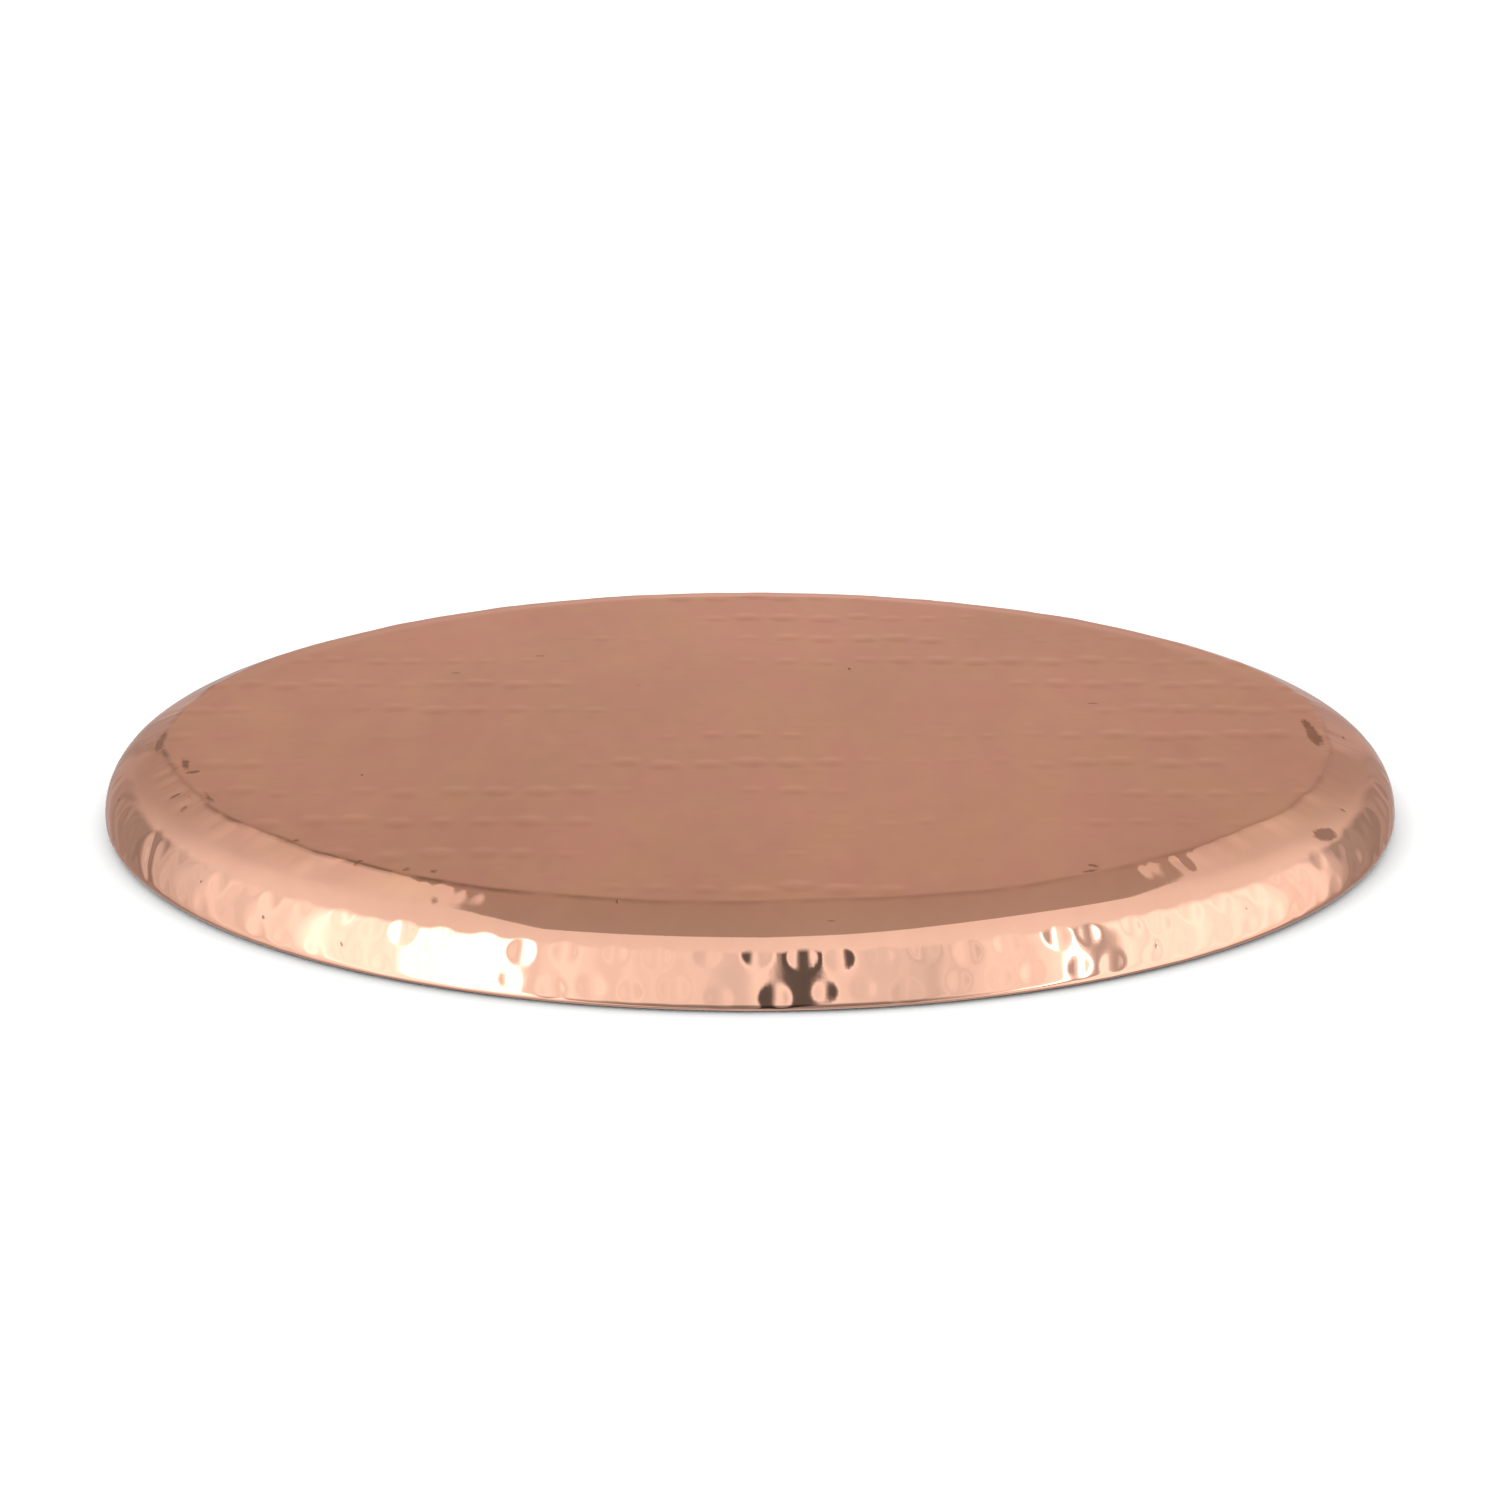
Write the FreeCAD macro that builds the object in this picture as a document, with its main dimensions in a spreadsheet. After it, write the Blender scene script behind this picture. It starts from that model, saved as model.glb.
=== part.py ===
"""Round hammered copper serving tray with a wired rim, as a parametric FreeCAD document.

The tray lies turned over: it rests on its rolled rim, with the flat base upwards. The origin is the
centre of the circle on which the rim rests, +Z points up out of the base, and sizes are millimetres.

Two pieces make the tray. One round blank of sheet copper is raised into the pan: a flat base, a crease,
a sloping shoulder and a rounded wall. The edge of the wall is then rolled inwards round a rim wire, which
stiffens the thin sheet. Both pieces are turned about the tray's axis.
"""

import FreeCAD
import Part
import math
import os

import Sketcher

DRIVING_SIZES = (
    # alias, value, what it is
    ("trayDiameter", 406.0, "over the widest part of the wall"),
    ("trayHeight", 25.0, "from the foot of the rim to the outside of the base"),
    ("sheetGauge", 1.3, "thickness of the copper sheet"),
    ("shoulderSlope", 24.5, "degrees by which the shoulder falls away from the base"),
    ("creaseRadius", 3.0, "outside radius of the bend between base and shoulder"),
    ("wallRadius", 18.0, "outside radius of the rounded wall"),
    ("wireDiameter", 6.0, "rod that the rim is rolled round"),
    ("wirePlay", 0.1, "gap left all round the rod by the hand-rolled sheet"),
    ("rollAngle", 265.0, "degrees of the rod that the sheet wraps, from the widest part of the wall"),
    ("wireGap", 1.0, "butt gap between the two ends of the rod"),
)
ROLL_RADIUS = "(sizes.wireDiameter / 2 + sizes.wirePlay + sizes.sheetGauge)"
RING_RADIUS = f"(sizes.trayDiameter / 2 - {ROLL_RADIUS})"
FULL_TURN = 360
OUTPUT_FOLDER = "parts"

# How a sketch numbers its own axes, and the points of a curve.
ORIGIN_AND_X_AXIS, Y_AXIS = -1, -2
START, END, CENTRE = 1, 2, 3

Z_DIRECTION = FreeCAD.Vector(0, 0, 1)
Constraint = Sketcher.Constraint


def make_sheet(doc):
    """The spreadsheet of driving sizes, one to a row: the value in column A and what it is in column B."""
    sheet = doc.addObject("Spreadsheet::Sheet", "sizes")
    for row, (alias, value, note) in enumerate(DRIVING_SIZES, start=1):
        sheet.set(f"A{row}", str(value))
        sheet.setAlias(f"A{row}", alias)
        sheet.set(f"B{row}", note)
    doc.recompute()
    return sheet


def roll_radius(sheet):
    """Outside radius of the rolled rim, which is also the height of the rod's centre above the ground."""
    return sheet.wireDiameter / 2 + sheet.wirePlay + sheet.sheetGauge


def make_body(doc, label):
    """An empty body with a sketch on its upright plane, where sketch X is radius and sketch Y is height."""
    body = doc.addObject("PartDesign::Body", label)
    body.Label = label
    sketch = body.newObject("Sketcher::SketchObject", label + "_section")
    upright = next(plane for plane in body.Origin.OriginFeatures if plane.Role == "XZ_Plane")
    sketch.AttachmentSupport = [(upright, "")]
    sketch.MapMode = "FlatFace"
    return body, sketch


def turn(body, sketch, degrees):
    """Turns a body's section about the tray's axis by an expression's worth of degrees."""
    turned = body.newObject("PartDesign::Revolution", body.Label + "_turned")
    turned.Profile = sketch
    turned.ReferenceAxis = (sketch, ["V_Axis"])
    turned.setExpression("Angle", degrees)


def polar(centre, radius, angle):
    """The point at a radius and an angle, in radians, round a centre."""
    return centre + FreeCAD.Vector(radius * math.cos(angle), radius * math.sin(angle), 0)


def add_line(sketch, start, end):
    """Adds a straight line and returns its number."""
    return sketch.addGeometry(Part.LineSegment(start, end), False)


def add_arc(sketch, centre, radius, low, high):
    """Adds an arc, which runs anticlockwise from START at the low angle, and returns its number."""
    circle = Part.Circle(centre, Z_DIRECTION, radius)
    return sketch.addGeometry(Part.ArcOfCircle(circle, low, high), False)


def join(sketch, kind, *ends):
    """Joins curves at their ends, two at a time: Coincident, or Tangent where the joint is smooth."""
    for (first, first_end), (second, second_end) in ends:
        sketch.addConstraint(Constraint(kind, first, first_end, second, second_end))


def bind(sketch, name, constraint, expression):
    """Adds a named dimension and binds it to the spreadsheet."""
    index = sketch.addConstraint(constraint)
    sketch.renameConstraint(index, name)
    sketch.setExpression(f"Constraints.{name}", expression)


def draw_skin(sketch, sheet, depth):
    """One face of the sheet, that deep below the outside: base, crease, shoulder, wall and roll."""
    slope = math.radians(sheet.shoulderSlope)
    steep = math.pi / 2 - slope
    upright = math.pi / 2
    roll = roll_radius(sheet)
    roll_centre = FreeCAD.Vector(sheet.trayDiameter / 2 - roll, roll, 0)
    wall_centre = FreeCAD.Vector(sheet.trayDiameter / 2 - sheet.wallRadius, roll, 0)
    # The crease's centre lies on a level line, and on a line along the shoulder from the wall's centre.
    crease_z = sheet.trayHeight - sheet.creaseRadius
    beside_shoulder = polar(wall_centre, sheet.wallRadius - sheet.creaseRadius, steep)
    crease_x = beside_shoulder.x - (crease_z - beside_shoulder.y) / math.tan(slope)
    crease_centre = FreeCAD.Vector(crease_x, crease_z, 0)

    crease_radius = sheet.creaseRadius - depth
    wall_radius = sheet.wallRadius - depth
    middle = FreeCAD.Vector(0, sheet.trayHeight - depth, 0)
    base = add_line(sketch, middle, polar(crease_centre, crease_radius, upright))
    crease = add_arc(sketch, crease_centre, crease_radius, steep, upright)
    shoulder_top = polar(crease_centre, crease_radius, steep)
    shoulder = add_line(sketch, shoulder_top, polar(wall_centre, wall_radius, steep))
    wall = add_arc(sketch, wall_centre, wall_radius, 0, steep)
    rolled = add_arc(sketch, roll_centre, roll - depth, -math.radians(sheet.rollAngle), 0)
    join(
        sketch, "Tangent",
        ((base, END), (crease, END)),
        ((crease, START), (shoulder, START)),
        ((shoulder, END), (wall, END)),
        ((wall, START), (rolled, END)),
    )
    sketch.addConstraint(Constraint("PointOnObject", base, START, Y_AXIS))
    sketch.addConstraint(Constraint("Horizontal", base))
    return base, crease, shoulder, wall, rolled


def draw_pan_section(sketch, sheet):
    """Half of the pan's section: its outside, its inside, the lip between them and the side on the axis."""
    gauge = sheet.sheetGauge
    base, crease, shoulder, wall, rolled = draw_skin(sketch, sheet, 0)
    inner_base, inner_crease, inner_shoulder, inner_wall, inner_rolled = draw_skin(sketch, sheet, gauge)
    outer_lip = sketch.getPoint(rolled, START)
    inner_lip = sketch.getPoint(inner_rolled, START)
    lip = add_line(sketch, inner_lip, outer_lip)
    side = add_line(sketch, sketch.getPoint(inner_base, START), sketch.getPoint(base, START))
    join(
        sketch, "Coincident",
        ((inner_rolled, START), (lip, START)),
        ((lip, END), (rolled, START)),
        ((inner_base, START), (side, START)),
        ((side, END), (base, START)),
        ((crease, CENTRE), (inner_crease, CENTRE)),
        ((wall, CENTRE), (inner_wall, CENTRE)),
        ((rolled, CENTRE), (inner_rolled, CENTRE)),
    )
    sketch.addConstraint(Constraint("Horizontal", wall, CENTRE, wall, START))
    sketch.addConstraint(Constraint("Parallel", shoulder, inner_shoulder))
    sketch.addConstraint(Constraint("PointOnObject", rolled, CENTRE, lip))

    axes = ORIGIN_AND_X_AXIS
    height = Constraint("DistanceY", axes, START, base, START, sheet.trayHeight)
    thickness = Constraint("DistanceY", side, START, side, END, gauge)
    rim = Constraint("DistanceX", axes, START, wall, START, sheet.trayDiameter / 2)
    roll_height = Constraint("DistanceY", axes, START, rolled, CENTRE, roll_radius(sheet))
    roll = Constraint("Radius", rolled, roll_radius(sheet))
    wall_bend = Constraint("Radius", wall, sheet.wallRadius)
    crease_bend = Constraint("Radius", crease, sheet.creaseRadius)
    slope = Constraint("Angle", axes, shoulder, -math.radians(sheet.shoulderSlope))
    wrap = Constraint("Angle", axes, lip, -math.radians(sheet.rollAngle))
    bind(sketch, "height", height, "sizes.trayHeight")
    bind(sketch, "thickness", thickness, "sizes.sheetGauge")
    bind(sketch, "rim", rim, "sizes.trayDiameter / 2")
    bind(sketch, "roll_height", roll_height, ROLL_RADIUS)
    bind(sketch, "roll", roll, ROLL_RADIUS)
    bind(sketch, "wall_bend", wall_bend, "sizes.wallRadius")
    bind(sketch, "crease_bend", crease_bend, "sizes.creaseRadius")
    bind(sketch, "slope", slope, "-sizes.shoulderSlope * 1 deg")
    bind(sketch, "wrap", wrap, "-sizes.rollAngle * 1 deg")


def make_tray_pan(doc, sheet):
    """The copper pan: base, crease, shoulder, wall and rolled rim in one sheet."""
    body, sketch = make_body(doc, "tray_pan")
    draw_pan_section(sketch, sheet)
    turn(body, sketch, f"{FULL_TURN} * 1 deg")
    return body


def make_rim_wire(doc, sheet):
    """The rod inside the rolled rim, bent to a ring with its two ends butted."""
    body, sketch = make_body(doc, "rim_wire")
    height = roll_radius(sheet)
    ring_radius = sheet.trayDiameter / 2 - height
    section = Part.Circle(FreeCAD.Vector(ring_radius, height, 0), Z_DIRECTION, sheet.wireDiameter / 2)
    rod = sketch.addGeometry(section, False)
    axes = ORIGIN_AND_X_AXIS
    thickness = Constraint("Diameter", rod, sheet.wireDiameter)
    ring = Constraint("DistanceX", axes, START, rod, CENTRE, ring_radius)
    lift = Constraint("DistanceY", axes, START, rod, CENTRE, height)
    bind(sketch, "thickness", thickness, "sizes.wireDiameter")
    bind(sketch, "ring", ring, RING_RADIUS)
    bind(sketch, "lift", lift, ROLL_RADIUS)
    turn(body, sketch, f"{FULL_TURN} * (1 - sizes.wireGap / (2 * pi * {RING_RADIUS})) * 1 deg")
    return body


def check(doc, bodies):
    """Stops the build if an object failed, a sketch is loose, or a piece isn't one valid solid."""
    for item in doc.Objects:
        if "Invalid" in item.State or "Error" in item.State:
            raise RuntimeError(f"{item.Label} failed: {item.State}")
        if item.isDerivedFrom("Sketcher::SketchObject") and not item.FullyConstrained:
            raise RuntimeError(f"{item.Label} isn't fully constrained")
    for body in bodies:
        shape = body.Shape
        if shape.isNull() or not shape.isValid() or len(shape.Solids) != 1:
            raise RuntimeError(f"{body.Label} isn't one valid solid")


def export(bodies):
    """Writes each piece to its own STEP file, and prints its extent and volume."""
    os.makedirs(OUTPUT_FOLDER, exist_ok=True)
    for body in bodies:
        body.Shape.exportStep(os.path.join(OUTPUT_FOLDER, body.Label + ".step"))
        box = body.Shape.optimalBoundingBox()
        extent = f"{box.XLength:.2f} x {box.YLength:.2f} x {box.ZLength:.2f} mm from z {box.ZMin:.2f}"
        print(f"{body.Label}: {extent}, {body.Shape.Volume:.0f} mm3")


def main():
    doc = FreeCAD.newDocument("copper_tray")
    sheet = make_sheet(doc)
    bodies = [make_tray_pan(doc, sheet), make_rim_wire(doc, sheet)]
    doc.recompute()
    check(doc, bodies)
    export(bodies)


main()
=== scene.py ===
"""Hammered copper serving tray, base up: its planished pan, its rim wire and a plain studio.

The pan is one closed sheet of copper. Its section is turned about the tray's axis, and a Geometry Nodes
tree then strikes it: rows of round marks on the wall, soft rows on the base, a hand-wandering crease
and the slow unevenness of raised sheet. Lengths are metres, +Z is up, and the camera stands at -Y.
"""

import math
from typing import NamedTuple

import bpy
import numpy as np
from bpy.props import FloatProperty, FloatVectorProperty, IntProperty, PointerProperty
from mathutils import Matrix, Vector


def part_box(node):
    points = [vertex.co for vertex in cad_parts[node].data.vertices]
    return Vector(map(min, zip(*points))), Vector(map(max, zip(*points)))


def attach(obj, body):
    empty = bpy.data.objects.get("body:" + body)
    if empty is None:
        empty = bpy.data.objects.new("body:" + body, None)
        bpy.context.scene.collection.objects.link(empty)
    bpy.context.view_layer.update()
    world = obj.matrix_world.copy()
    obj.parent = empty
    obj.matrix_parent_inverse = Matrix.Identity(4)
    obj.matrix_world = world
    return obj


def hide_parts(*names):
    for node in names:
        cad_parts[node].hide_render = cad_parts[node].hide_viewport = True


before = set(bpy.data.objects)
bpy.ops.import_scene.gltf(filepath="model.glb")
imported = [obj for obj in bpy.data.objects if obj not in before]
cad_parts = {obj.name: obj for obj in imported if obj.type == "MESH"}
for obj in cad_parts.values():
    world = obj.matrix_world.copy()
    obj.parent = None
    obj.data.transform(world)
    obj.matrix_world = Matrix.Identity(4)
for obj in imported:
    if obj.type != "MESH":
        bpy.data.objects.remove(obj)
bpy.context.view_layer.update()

bl_info = {
    "name": "Hammered Copper Tray",
    "version": (1, 0, 0),
    "blender": (4, 5, 0),
    "location": "View3D > Sidebar > Tray",
    "description": "Builds a planished copper tray with a wired rim, and a studio to show it in",
    "category": "Add Mesh",
}

MM = 0.001
PAN_NODE = "tray_pan"
WIRE_NODE = "rim_wire"
ROOT_BODY = "root"
STRAIGHT = 0.0
FULL_TURN = 2 * math.pi


def linear(hex_colour):
    """An sRGB hex colour as linear red, green, blue and full alpha."""
    channels = [int(hex_colour[i:i + 2], 16) / 255 for i in (1, 3, 5)]
    return (*[c / 12.92 if c <= 0.04045 else ((c + 0.055) / 1.055) ** 2.4 for c in channels], 1.0)


def length_prop(name, value, description):
    """A size in metres that a user may change."""
    return FloatProperty(
        name=name, description=description, default=value, min=0, unit="LENGTH", precision=5
    )


def angle_prop(name, degrees, description):
    """An angle that a user may change."""
    return FloatProperty(
        name=name, description=description, default=math.radians(degrees), subtype="ANGLE"
    )


def colour_prop(name, hex_colour, description):
    """A colour that a user may change."""
    return FloatVectorProperty(
        name=name, description=description, size=4, min=0, max=1, default=linear(hex_colour),
        subtype="COLOR",
    )


def share_prop(name, value, description):
    """A plain number from nothing to one or so."""
    return FloatProperty(name=name, description=description, default=value, min=0)


# Sizes and colours that a user would change ---------------------------------------------------------------


class TraySheet(bpy.types.PropertyGroup):
    """The bends of the copper sheet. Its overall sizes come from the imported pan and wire."""

    shoulder_slope: angle_prop("Shoulder slope", 24.5, "Fall of the shoulder away from the base")
    crease_bend: length_prop("Crease bend", 3 * MM, "Outside radius of the bend between base and shoulder")
    wall_bend: length_prop("Wall bend", 18 * MM, "Outside radius of the rounded wall")
    roll_turn: angle_prop("Roll", 265, "How far the rim wraps its wire, from the widest part of the wall")
    wire_play: length_prop("Wire play", 0.1 * MM, "Gap between the rolled sheet and its wire")
    wall_edge: length_prop("Wall mesh", 1.1 * MM, "Length of the mesh's edges on the wall")
    base_edge: length_prop("Base mesh", 1.75 * MM, "Length of the mesh's edges on the base")
    inner_edge: length_prop("Inner mesh", 4.0 * MM, "Length of the mesh's edges on the hidden side")


class TrayMarks(bpy.types.PropertyGroup):
    """The marks that the planishing hammer leaves, and how uneven a hand-raised sheet is."""

    wall_marks: IntProperty(name="Wall marks", description="Marks in one row round the wall", default=104)
    wall_rows: IntProperty(name="Wall rows", description="Rows of marks on the wall", default=2)
    first_row: length_prop("First row", 20.4 * MM, "From the crease to the first row of wall marks")
    row_pitch: length_prop("Row pitch", 9.7 * MM, "Between the rows of wall marks")
    wall_width: length_prop("Wall mark width", 8.8 * MM, "Width of one mark on the wall")
    wall_depth: length_prop("Wall mark depth", 0.22 * MM, "Depth of the deepest marks on the wall")
    base_pitch: length_prop("Base mark pitch", 12.2 * MM, "Between the marks of one row on the base")
    base_rows: length_prop("Base row pitch", 29 * MM, "Between the rows of marks on the base")
    base_width: length_prop("Base mark width", 10.6 * MM, "Width of one soft mark on the base")
    base_rise: length_prop("Base mark rise", 0.17 * MM, "How far the highest marks stand out of the base")
    scatter: length_prop("Scatter", 1.3 * MM, "How far a mark may lie from its place in the row")
    wave_height: length_prop("Wave height", 0.16 * MM, "Height of the slow unevenness of the sheet")
    wave_length: length_prop("Wave length", 34 * MM, "Length of the slow unevenness of the sheet")
    crease_wander: length_prop("Crease wander", 0.6 * MM, "How far the crease strays from a true circle")
    seed: IntProperty(name="Seed", description="Another seed gives another tray of this kind", default=7)


class TrayFinish(bpy.types.PropertyGroup):
    """The colours and the shine of the metals."""

    polished: colour_prop("Polished copper", "#FAC4AA", "Copper of the burnished wall")
    filmed: colour_prop("Filmed copper", "#F6BA96", "Copper of the base under its thin brown oxide film")
    rosy: colour_prop("Rosy film", "#F4B399", "Copper of the base where the film is thinner and pinker")
    edge_tint: colour_prop("Edge tint", "#FFE3D8", "Copper's tint where it is seen along the surface")
    # The stain colour also serves as the painted shade along the crease.
    stain: colour_prop("Stain", "#5A3626", "Dark oxide in the dings and nicks")
    wall_roughness: share_prop("Wall roughness", 0.04, "Roughness of the burnished wall")
    base_roughness: share_prop("Base roughness", 0.24, "Roughness of the handled base")
    steel: colour_prop("Rim wire", "#8C8984", "Drawn mild steel of the rim wire")
    rust: colour_prop("Rust", "#5B4636", "Brown specks on the rim wire")


class TrayStudio(bpy.types.PropertyGroup):
    """Floor, light and camera."""

    camera_distance: length_prop("Camera distance", 1.15, "From the middle of the foot to the camera")
    camera_height: angle_prop("Camera height", 16.544, "How far the camera stands above the floor")
    aim_angle: angle_prop("Aim", 15.785, "How far the camera looks down")
    focal_mm: FloatProperty(name="Focal length", description="Of a lens on 36 mm film", default=86.3)
    paper: colour_prop("Paper", "#F6F6F5", "Matt white paper that the tray lies on")
    sky_strength: share_prop("Overhead light", 1.5, "Strength of the broad soft light over the floor")
    sky_spread: angle_prop("Overhead spread", 140, "How broad the overhead light is")


class TraySettings(bpy.types.PropertyGroup):
    """All the tray's settings."""

    sheet: PointerProperty(type=TraySheet)
    marks: PointerProperty(type=TrayMarks)
    finish: PointerProperty(type=TrayFinish)
    studio: PointerProperty(type=TrayStudio)


# Nodes ----------------------------------------------------------------------------------------------------


# The kinds of node that come up most.
MATH = "ShaderNodeMath"
MAP_RANGE = "ShaderNodeMapRange"
NOISE = "ShaderNodeTexNoise"
MIX = "ShaderNodeMix"
VECTOR_MATH = "ShaderNodeVectorMath"
MAPPING = "ShaderNodeMapping"
COMBINE = "ShaderNodeCombineXYZ"
SEPARATE = "ShaderNodeSeparateXYZ"
BUMP = "ShaderNodeBump"
ROTATE = "ShaderNodeVectorRotate"
RANDOM = "FunctionNodeRandomValue"


def add(tree, kind, inputs=None, **settings):
    """Adds a node with its settings, and fills its sockets from values or from other nodes' outputs."""
    node = tree.nodes.new(kind)
    for name, value in settings.items():
        setattr(node, name, value)
    for socket, value in (inputs or {}).items():
        if isinstance(value, bpy.types.NodeSocket):
            tree.links.new(value, node.inputs[socket])
        else:
            node.inputs[socket].default_value = value
    return node


def new_material(name):
    """A node material with only its output, and that output's surface socket."""
    material = bpy.data.materials.new(name)
    material.use_nodes = True
    material.node_tree.nodes.clear()
    output = material.node_tree.nodes.new("ShaderNodeOutputMaterial")
    return material, material.node_tree, output.inputs["Surface"]


# The sheet's section --------------------------------------------------------------------------------------


class Run(NamedTuple):
    """One straight or rounded stretch of the sheet's outside. Tilts turn outwards from straight up."""

    radius: float
    height: float
    bend: float
    tilt: float
    end_tilt: float
    length: float

    def at(self, share):
        """Radius, height and tilt of the outside at a share of the run's length."""
        tilt = self.tilt + share * (self.end_tilt - self.tilt)
        if self.bend == STRAIGHT:
            travel = share * self.length
            return self.radius + travel * math.cos(tilt), self.height - travel * math.sin(tilt), tilt
        return self.radius + self.bend * math.sin(tilt), self.height + self.bend * math.cos(tilt), tilt


class Ring(NamedTuple):
    """A ring of points on either side of the sheet, with the place of the outside of the sheet over it."""

    radius: float
    height: float
    outside_radius: float
    outside_height: float
    tilt: float
    travel: float
    count: int
    give: float


def tray_sizes(sheet):
    """Outside radius, height, gauge and roll radius of the tray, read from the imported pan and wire."""
    pan_low, pan_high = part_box(PAN_NODE)
    wire_low, wire_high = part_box(WIRE_NODE)
    roll = (wire_low.z + wire_high.z) / 2
    gauge = wire_low.z - sheet.wire_play
    return pan_high.x, pan_high.z, gauge, roll


def section_runs(sheet):
    """The outside of the sheet from the middle of the base to the lip.

    Its runs are the base, the crease, the shoulder, the wall, the bead and the tuck round the wire.
    """
    rim, height, _, roll = tray_sizes(sheet)
    slope = sheet.shoulder_slope
    upright = math.pi / 2
    wall_radius = rim - sheet.wall_bend
    crease_height = height - sheet.crease_bend
    # The crease's centre lies on a line along the shoulder, that far inside the wall's own bend.
    inset = sheet.wall_bend - sheet.crease_bend
    drop = crease_height - (roll + inset * math.cos(slope))
    crease_radius = wall_radius + inset * math.sin(slope) - drop / math.tan(slope)
    shoulder_length = drop / math.sin(slope)
    base = Run(0, height, STRAIGHT, 0, 0, crease_radius)
    crease = Run(crease_radius, crease_height, sheet.crease_bend, 0, slope, sheet.crease_bend * slope)
    top_radius, top_height, _ = crease.at(1)
    shoulder = Run(top_radius, top_height, STRAIGHT, slope, slope, shoulder_length)
    wall = Run(wall_radius, roll, sheet.wall_bend, slope, upright, sheet.wall_bend * (upright - slope))
    bead = Run(rim - roll, roll, roll, upright, math.pi, roll * (math.pi - upright))
    end = upright + sheet.roll_turn
    tuck = Run(rim - roll, roll, roll, math.pi, end, roll * (end - math.pi))
    return base, crease, shoulder, wall, bead, tuck


RING_COUNTS = (75, 100, 150, 200, 300, 400, 600, 800, 1200)


def ring_count(radius, edge):
    """How many points a ring has: the count whose edges are nearest that length, as a ratio."""
    ideal = max(FULL_TURN * radius / edge, 1)
    return min(RING_COUNTS, key=lambda count: abs(math.log(count / ideal)))


def skin_rings(runs, edges, steps, depth, gives):
    """Rings along the outside of the sheet, or so deep under it, from the middle of the base to the lip."""
    rings = []
    travel = -runs[0].length
    for run, edge, step, give in zip(runs, edges, steps, gives):
        rows = max(1, math.ceil(run.length / step))
        for row in range(1, rows + 1):
            radius, height, tilt = run.at(row / rows)
            rings.append(Ring(
                radius - depth * math.sin(tilt), height - depth * math.cos(tilt), radius, height, tilt,
                travel + run.length * row / rows, ring_count(radius, edge), give,
            ))
        travel += run.length
    middle_radius, middle_height, _ = runs[0].at(0)
    middle = Ring(middle_radius, middle_height - depth, 0, middle_height, 0, -runs[0].length, 1, gives[0])
    return [middle] + rings


def stitch(first, first_count, second, second_count):
    """Faces between two rings that start at those vertices and may have different counts, or one point."""
    if first_count == second_count:
        turns = [(i, (i + 1) % first_count) for i in range(first_count)]
        return [(first + i, second + i, second + j, first + j) for i, j in turns]
    faces = []
    near, far = 0, 0
    near_steps = first_count if first_count > 1 else 0
    far_steps = second_count if second_count > 1 else 0
    while near < near_steps or far < far_steps:
        here = (first + near % first_count, second + far % second_count)
        if far == far_steps or (near < near_steps and (near + 1) * far_steps < (far + 1) * near_steps):
            near += 1
            faces.append((*here, first + near % first_count))
        else:
            far += 1
            faces.append((*here, second + far % second_count))
    return faces


class Blemish(NamedTuple):
    """A ding or stain: where it is, how large and how turned, how deep, and how dark."""

    bearing: float
    travel: float
    length: float
    width: float
    turn: float
    depth: float
    stain: float


# Bearings are degrees round the tray from the front, positive to the right; travel is millimetres from the
# crease, negative on the base; a blemish lies along the crease, turned by so many degrees towards the wall.
BLEMISHES = [Blemish(*numbers) for numbers in (
    (84.6, -3.6, 24, 5, -4, 0.2, 1.25), (88.6, -4.9, 20, 3.6, -7, 0.15, 1.2),
    (79, 0.6, 5, 2.5, 60, 0.1, 0.6), (-74.5, -3.6, 18, 2.8, 7, 0.14, 1.05),
    (-71.4, -4.4, 6, 3.6, 70, 0.12, 1.1), (-83.5, 1.8, 32, 4.5, 2, 0.3, 0.95),
    (-66.3, 5.4, 3.4, 4.5, 0, 0.12, 0.9), (-62.5, 6.6, 6, 4, 20, 0.15, 0.7),
    (-64, 2.6, 14, 1.6, 0, 0.06, 0.6), (-62, -1.2, 18, 3, 4, 0.1, 0.8),
    (-61, 23, 12, 5, 70, 0.35, 0.2), (-45.3, -0.8, 5, 3, 80, 0.05, 0.95),
    (-36.6, 0.2, 5, 2.6, 80, 0.05, 0.9), (-31.6, -2.6, 5, 3, 80, 0.04, 0.95),
    (-29.2, -4.8, 5, 3, 50, 0.04, 0.9), (-33.6, 27.4, 2.6, 1.4, 60, 0.05, 1.0),
    (-27.4, 20, 1.6, 1.6, 0, 0.04, 0.8), (59, 14.6, 13, 6, 10, 0.15, 1.2),
    (65.4, 12.2, 3.4, 2.4, 60, 0.08, 0.8), (62, 27, 10, 6, 35, 0.35, 0.2),
    (40.4, 4.2, 4, 6, 0, 0.3, 0.1), (31.2, -1.6, 8, 3, 0, 0.05, 0.9),
    (32.4, -4.6, 5, 3, 70, 0.05, 0.9), (33.2, 27.5, 3.4, 1.6, 88, 0.06, 0.9),
    (43.6, 24.4, 2, 1.6, 0, 0.04, 0.8), (5, 5.9, 5.5, 4.5, 0, 0.1, 0),
)]


class Swing(NamedTuple):
    """A place where the crease strays outwards, or inwards if negative, by so many millimetres."""

    bearing: float
    spread: float
    out: float


# Bearings and half widths are degrees.
SWINGS = [Swing(*numbers) for numbers in (
    (-84, 6, 1.2), (-66, 5, -0.9), (-56, 4, 0.8), (-46, 4, -0.7), (-25, 13, 1.6),
    (8, 7, -1.6), (22, 9, 1.0), (48, 5, -0.8), (58, 4, 0.6), (85, 8, -1.5),
)]
# A swing carries the sheet with it so far to each side of the crease.
SWING_REACH = 9 * MM


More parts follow.
